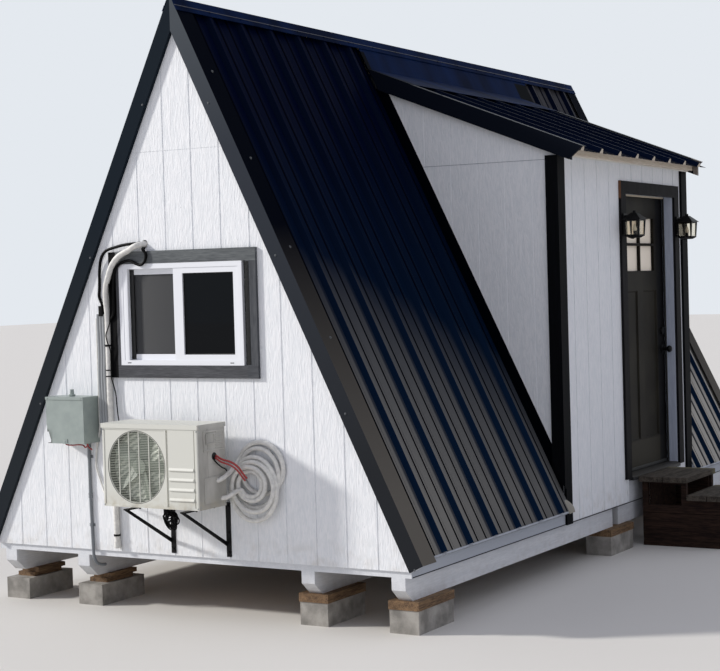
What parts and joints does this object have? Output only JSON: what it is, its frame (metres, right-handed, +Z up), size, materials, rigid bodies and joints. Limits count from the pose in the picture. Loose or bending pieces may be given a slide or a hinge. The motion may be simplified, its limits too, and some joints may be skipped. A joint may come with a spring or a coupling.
{
  "type": "A-frame cabin",
  "caption": "Small A-frame cabin on timber skids, with white grooved siding, a black ribbed metal roof, a shed dormer over its side door, a front window and an outdoor heat-pump unit.",
  "frame": {"origin": "middle of the whole object in plan, steps and outdoor unit included, at the underside of the ground blocks", "axes": "+X towards the dormer and its door, +Y from the front gable with the window to the rear gable, +Z up"},
  "size_m": [3.829, 5.892, 3.655],
  "materials": {
    "painted_skid": "painted",
    "concrete": "rough concrete",
    "shim_timber": "rough",
    "plywood": "raw",
    "white_siding": "painted, embossed grain",
    "roof_panel": "raw",
    "white_board": "painted",
    "black_sheet": "smooth",
    "charcoal_trim": "smooth",
    "cream_board": "painted",
    "black_board": "painted",
    "white_jamb": "painted",
    "dark_board": "painted",
    "grey_board": "painted",
    "dark_door": "satin",
    "clear_glass": "clear",
    "black_iron": "satin",
    "white_vinyl": "smooth",
    "ivory_steel": "satin",
    "ivory_plastic": "smooth",
    "white_lagging": "soft foam",
    "white_lagging_coil": "soft foam",
    "black_rubber": "satin",
    "red_rubber": "satin",
    "grey_green_steel": "satin",
    "brown_board": "weathered",
    "weathered_board": "weathered"
  },
  "bodies": {
    "cabin": {"skids": "painted_skid", "ground_blocks": "concrete", "shims": "shim_timber", "floor_frame": "painted_skid", "floor_deck": "plywood", "front_wall": "white_siding", "rear_wall": "white_siding", "roof_left": "roof_panel", "roof_right_front": "roof_panel", "roof_right_rear": "roof_panel", "eave_bands": "white_board", "metal_left": "black_sheet", "metal_right": "black_sheet", "ridge_cap": "black_sheet", "rake_trims": "charcoal_trim", "dormer_side_walls": "white_siding", "dormer_front_walls": "white_siding", "dormer_header": "white_siding", "dormer_roof": "roof_panel", "dormer_metal": "black_sheet", "dormer_fascia": "cream_board", "dormer_rake_trims": "charcoal_trim", "dormer_flashings": "black_sheet", "corner_boards": "black_board", "door_frame": "white_jamb", "door_trim": "dark_board", "window_trim": "grey_board", "frame_hinges": "black_iron", "window_frame": "white_vinyl", "window_glass": "clear_glass", "lanterns": "black_iron", "unit_casing": "ivory_steel", "unit_grille": "ivory_plastic", "unit_brackets": "black_iron", "pipe_run": "white_lagging", "tube_coil": "white_lagging_coil", "black_cables": "black_rubber", "red_wires": "red_rubber", "supply_box": "grey_green_steel", "step_carcass": "brown_board", "step_treads": "weathered_board"},
    "door": {"door_leaf": "dark_door", "door_glass": "clear_glass", "door_lock": "black_iron", "door_hinges": "black_iron"}
  },
  "joints": [
    {"name": "door_hinge", "type": "hinge", "parent": "cabin", "child": "door", "pos_m": [1.0895, 0.56, 1.5275], "axis": [0, 0, 1], "range_deg": [0, 100]}
  ]
}
